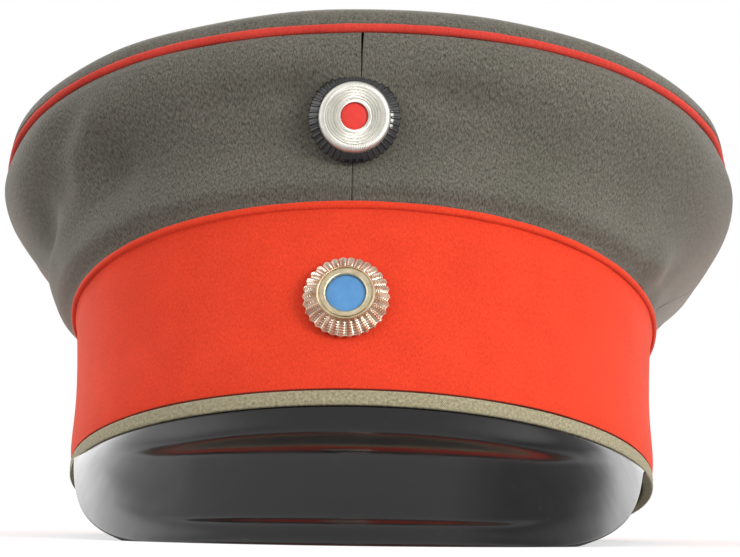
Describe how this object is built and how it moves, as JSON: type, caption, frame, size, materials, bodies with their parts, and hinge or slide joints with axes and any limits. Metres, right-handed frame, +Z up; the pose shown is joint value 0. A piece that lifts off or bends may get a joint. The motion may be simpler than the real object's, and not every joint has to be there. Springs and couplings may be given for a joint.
{
  "type": "visor cap",
  "caption": "Soft cloth visor cap with a flared crown, contrasting band and piping, black patent leather visor and two round cockades; open underneath for a head.",
  "frame": {"origin": "on the surface the cap rests on, under the middle of its box", "axes": "+Y towards the back of the cap, so the visor points to -Y; +X towards the wearer's left; +Z up"},
  "size_m": [0.2248, 0.2746, 0.1324],
  "materials": {
    "crown_wool": "brushed wool",
    "band_wool": "fine felted wool",
    "piping_cord": "wool cord",
    "trim_cloth": "twill",
    "visor_leather": "black patent",
    "black_enamel": "gloss enamel",
    "silver_metal": "silvered, worn",
    "tarnished_silver": "silvered, tarnished",
    "red_enamel": "matte enamel",
    "blue_enamel": "gloss enamel"
  },
  "bodies": {
    "root": {"crown_top": "crown_wool", "crown_front_left": "crown_wool", "crown_front_right": "crown_wool", "crown_back_left": "crown_wool", "crown_back_right": "crown_wool", "crown_piping": "piping_cord", "band": "band_wool", "band_piping": "piping_cord", "lower_trim": "trim_cloth", "visor": "visor_leather", "upper_cockade_rim": "black_enamel", "upper_cockade_dish": "silver_metal", "upper_cockade_centre": "red_enamel", "lower_cockade_rim": "tarnished_silver", "lower_cockade_ring": "silver_metal", "lower_cockade_centre": "blue_enamel"}
  },
  "joints": []
}
